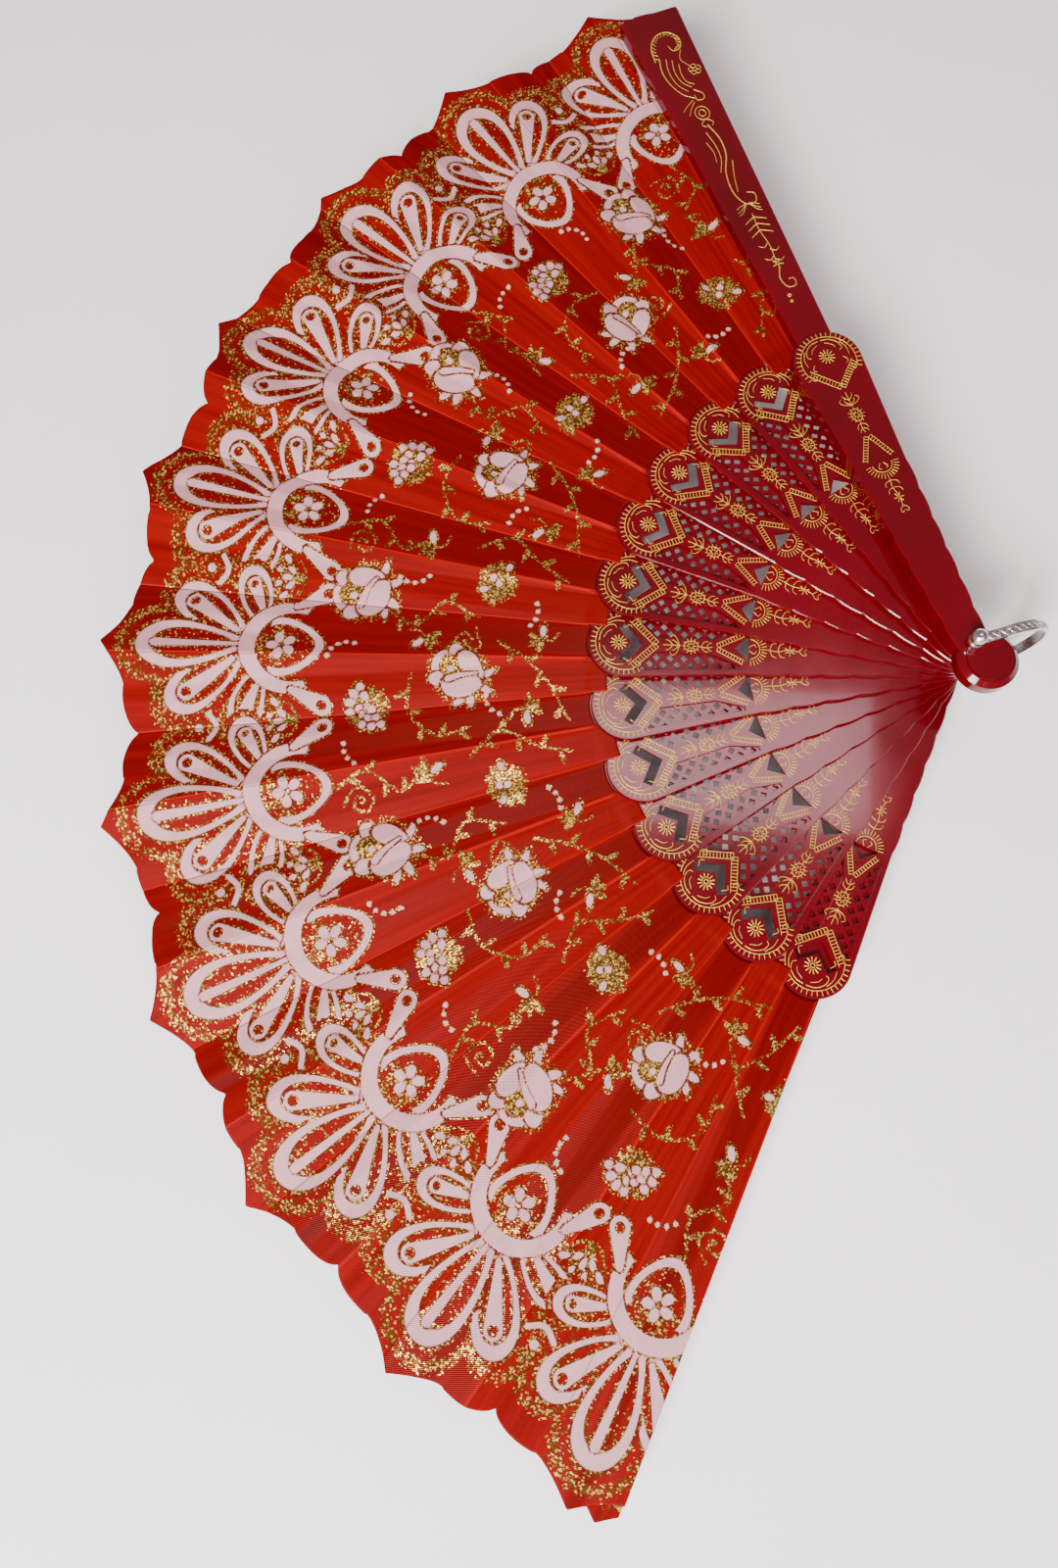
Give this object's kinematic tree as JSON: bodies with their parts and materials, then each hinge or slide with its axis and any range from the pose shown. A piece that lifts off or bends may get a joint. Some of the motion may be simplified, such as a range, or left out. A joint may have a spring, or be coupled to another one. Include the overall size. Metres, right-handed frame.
{
  "type": "folding hand fan",
  "caption": "Folding hand fan with pierced moulded sticks, two thick guards, a pleated printed cloth leaf and a metal hanging ring at the pivot.",
  "frame": {"origin": "on the pivot's axis, in the plane of the back guard's outer face", "axes": "+Z along the pivot pin towards the front guard; +Y along the middle of the open fan; +X to the right, seen from the front"},
  "size_m": [0.4306, 0.2558, 0.0394],
  "materials": {
    "crimson_plastic": "glossy moulded plastic, dark crimson",
    "leaf_cloth": "red satin-faced twill with a white and gold glitter print",
    "silver_metal": "bright plated steel",
    "gold_foil": "hot-stamped gold foil"
  },
  "bodies": {
    "back_guard": {"back_guard": "crimson_plastic", "leaf_glued_back_guard": "leaf_cloth", "pivot_pin": "silver_metal", "front_ball": "silver_metal", "back_ball": "silver_metal"},
    "stick_12": {"inner_stick_12": "crimson_plastic", "leaf_glued_12": "leaf_cloth"},
    "stick_11": {"inner_stick_11": "crimson_plastic", "leaf_glued_11": "leaf_cloth"},
    "stick_10": {"inner_stick_10": "crimson_plastic", "leaf_glued_10": "leaf_cloth"},
    "stick_09": {"inner_stick_09": "crimson_plastic", "leaf_glued_09": "leaf_cloth"},
    "stick_08": {"inner_stick_08": "crimson_plastic", "leaf_glued_08": "leaf_cloth"},
    "stick_07": {"inner_stick_07": "crimson_plastic", "leaf_glued_07": "leaf_cloth"},
    "stick_06": {"inner_stick_06": "crimson_plastic", "leaf_glued_06": "leaf_cloth"},
    "stick_05": {"inner_stick_05": "crimson_plastic", "leaf_glued_05": "leaf_cloth"},
    "stick_04": {"inner_stick_04": "crimson_plastic", "leaf_glued_04": "leaf_cloth"},
    "stick_03": {"inner_stick_03": "crimson_plastic", "leaf_glued_03": "leaf_cloth"},
    "stick_02": {"inner_stick_02": "crimson_plastic", "leaf_glued_02": "leaf_cloth"},
    "stick_01": {"inner_stick_01": "crimson_plastic", "leaf_glued_01": "leaf_cloth"},
    "front_guard": {"front_guard": "crimson_plastic", "leaf_glued_front_guard": "leaf_cloth"},
    "pleat_01": {"leaf_free_01": "leaf_cloth"},
    "pleat_02": {"leaf_free_02": "leaf_cloth"},
    "pleat_03": {"leaf_free_03": "leaf_cloth"},
    "pleat_04": {"leaf_free_04": "leaf_cloth"},
    "pleat_05": {"leaf_free_05": "leaf_cloth"},
    "pleat_06": {"leaf_free_06": "leaf_cloth"},
    "pleat_07": {"leaf_free_07": "leaf_cloth"},
    "pleat_08": {"leaf_free_08": "leaf_cloth"},
    "pleat_09": {"leaf_free_09": "leaf_cloth"},
    "pleat_10": {"leaf_free_10": "leaf_cloth"},
    "pleat_11": {"leaf_free_11": "leaf_cloth"},
    "pleat_12": {"leaf_free_12": "leaf_cloth"},
    "pleat_13": {"leaf_free_13": "leaf_cloth"},
    "ring": {"hanging_ring": "silver_metal"}
  },
  "joints": [
    {"name": "last_pleat", "type": "hinge", "parent": "back_guard", "child": "stick_12", "pos_m": [0, 0, 0], "axis": [0, 0, 1], "range_deg": [-11, 0]},
    {"name": "fan_fold", "type": "hinge", "parent": "stick_12", "child": "stick_11", "pos_m": [0, 0, 0], "axis": [0, 0, 1], "range_deg": [0, 11]},
    {"name": "stick_10_pivot", "type": "hinge", "parent": "stick_11", "child": "stick_10", "pos_m": [0, 0, 0], "axis": [0, 0, 1], "range_deg": [0, 11]},
    {"name": "stick_09_pivot", "type": "hinge", "parent": "stick_10", "child": "stick_09", "pos_m": [0, 0, 0], "axis": [0, 0, 1], "range_deg": [0, 11]},
    {"name": "stick_08_pivot", "type": "hinge", "parent": "stick_09", "child": "stick_08", "pos_m": [0, 0, 0], "axis": [0, 0, 1], "range_deg": [0, 11]},
    {"name": "stick_07_pivot", "type": "hinge", "parent": "stick_08", "child": "stick_07", "pos_m": [0, 0, 0], "axis": [0, 0, 1], "range_deg": [0, 11]},
    {"name": "stick_06_pivot", "type": "hinge", "parent": "stick_07", "child": "stick_06", "pos_m": [0, 0, 0], "axis": [0, 0, 1], "range_deg": [0, 11]},
    {"name": "stick_05_pivot", "type": "hinge", "parent": "stick_06", "child": "stick_05", "pos_m": [0, 0, 0], "axis": [0, 0, 1], "range_deg": [0, 11]},
    {"name": "stick_04_pivot", "type": "hinge", "parent": "stick_05", "child": "stick_04", "pos_m": [0, 0, 0], "axis": [0, 0, 1], "range_deg": [0, 11]},
    {"name": "stick_03_pivot", "type": "hinge", "parent": "stick_04", "child": "stick_03", "pos_m": [0, 0, 0], "axis": [0, 0, 1], "range_deg": [0, 11]},
    {"name": "stick_02_pivot", "type": "hinge", "parent": "stick_03", "child": "stick_02", "pos_m": [0, 0, 0], "axis": [0, 0, 1], "range_deg": [0, 11]},
    {"name": "stick_01_pivot", "type": "hinge", "parent": "stick_02", "child": "stick_01", "pos_m": [0, 0, 0], "axis": [0, 0, 1], "range_deg": [0, 11]},
    {"name": "front_guard_pivot", "type": "hinge", "parent": "stick_01", "child": "front_guard", "pos_m": [0, 0, 0], "axis": [0, 0, 1], "range_deg": [0, 11]},
    {"name": "pleat_01_fold", "type": "hinge", "parent": "stick_01", "child": "pleat_01", "pos_m": [0, 0, 0], "axis": [0, 0, 1], "range_deg": [0, 5.5]},
    {"name": "pleat_02_fold", "type": "hinge", "parent": "stick_02", "child": "pleat_02", "pos_m": [0, 0, 0], "axis": [0, 0, 1], "range_deg": [0, 5.5]},
    {"name": "pleat_03_fold", "type": "hinge", "parent": "stick_03", "child": "pleat_03", "pos_m": [0, 0, 0], "axis": [0, 0, 1], "range_deg": [0, 5.5]},
    {"name": "pleat_04_fold", "type": "hinge", "parent": "stick_04", "child": "pleat_04", "pos_m": [0, 0, 0], "axis": [0, 0, 1], "range_deg": [0, 5.5]},
    {"name": "pleat_05_fold", "type": "hinge", "parent": "stick_05", "child": "pleat_05", "pos_m": [0, 0, 0], "axis": [0, 0, 1], "range_deg": [0, 5.5]},
    {"name": "pleat_06_fold", "type": "hinge", "parent": "stick_06", "child": "pleat_06", "pos_m": [0, 0, 0], "axis": [0, 0, 1], "range_deg": [0, 5.5]},
    {"name": "pleat_07_fold", "type": "hinge", "parent": "stick_07", "child": "pleat_07", "pos_m": [0, 0, 0], "axis": [0, 0, 1], "range_deg": [0, 5.5]},
    {"name": "pleat_08_fold", "type": "hinge", "parent": "stick_08", "child": "pleat_08", "pos_m": [0, 0, 0], "axis": [0, 0, 1], "range_deg": [0, 5.5]},
    {"name": "pleat_09_fold", "type": "hinge", "parent": "stick_09", "child": "pleat_09", "pos_m": [0, 0, 0], "axis": [0, 0, 1], "range_deg": [0, 5.5]},
    {"name": "pleat_10_fold", "type": "hinge", "parent": "stick_10", "child": "pleat_10", "pos_m": [0, 0, 0], "axis": [0, 0, 1], "range_deg": [0, 5.5]},
    {"name": "pleat_11_fold", "type": "hinge", "parent": "stick_11", "child": "pleat_11", "pos_m": [0, 0, 0], "axis": [0, 0, 1], "range_deg": [0, 5.5]},
    {"name": "pleat_12_fold", "type": "hinge", "parent": "stick_12", "child": "pleat_12", "pos_m": [0, 0, 0], "axis": [0, 0, 1], "range_deg": [0, 5.5]},
    {"name": "pleat_13_fold", "type": "hinge", "parent": "back_guard", "child": "pleat_13", "pos_m": [0, 0, 0], "axis": [0, 0, 1], "range_deg": [-5.5, 0]},
    {"name": "ring_swing", "type": "hinge", "parent": "back_guard", "child": "ring", "pos_m": [0, 0, 0], "axis": [0, 0, 1], "range_deg": [-105, 55]}
  ],
  "couplings": [
    {"joint": "stick_10_pivot", "follows": "fan_fold", "ratio": 1},
    {"joint": "stick_09_pivot", "follows": "fan_fold", "ratio": 1},
    {"joint": "stick_08_pivot", "follows": "fan_fold", "ratio": 1},
    {"joint": "stick_07_pivot", "follows": "fan_fold", "ratio": 1},
    {"joint": "stick_06_pivot", "follows": "fan_fold", "ratio": 1},
    {"joint": "stick_05_pivot", "follows": "fan_fold", "ratio": 1},
    {"joint": "stick_04_pivot", "follows": "fan_fold", "ratio": 1},
    {"joint": "stick_03_pivot", "follows": "fan_fold", "ratio": 1},
    {"joint": "stick_02_pivot", "follows": "fan_fold", "ratio": 1},
    {"joint": "stick_01_pivot", "follows": "fan_fold", "ratio": 1},
    {"joint": "front_guard_pivot", "follows": "fan_fold", "ratio": 1},
    {"joint": "pleat_01_fold", "follows": "fan_fold", "ratio": 0.5},
    {"joint": "pleat_02_fold", "follows": "fan_fold", "ratio": 0.5},
    {"joint": "pleat_03_fold", "follows": "fan_fold", "ratio": 0.5},
    {"joint": "pleat_04_fold", "follows": "fan_fold", "ratio": 0.5},
    {"joint": "pleat_05_fold", "follows": "fan_fold", "ratio": 0.5},
    {"joint": "pleat_06_fold", "follows": "fan_fold", "ratio": 0.5},
    {"joint": "pleat_07_fold", "follows": "fan_fold", "ratio": 0.5},
    {"joint": "pleat_08_fold", "follows": "fan_fold", "ratio": 0.5},
    {"joint": "pleat_09_fold", "follows": "fan_fold", "ratio": 0.5},
    {"joint": "pleat_10_fold", "follows": "fan_fold", "ratio": 0.5},
    {"joint": "pleat_11_fold", "follows": "fan_fold", "ratio": 0.5},
    {"joint": "pleat_12_fold", "follows": "fan_fold", "ratio": 0.5},
    {"joint": "pleat_13_fold", "follows": "last_pleat", "ratio": 0.5}
  ]
}
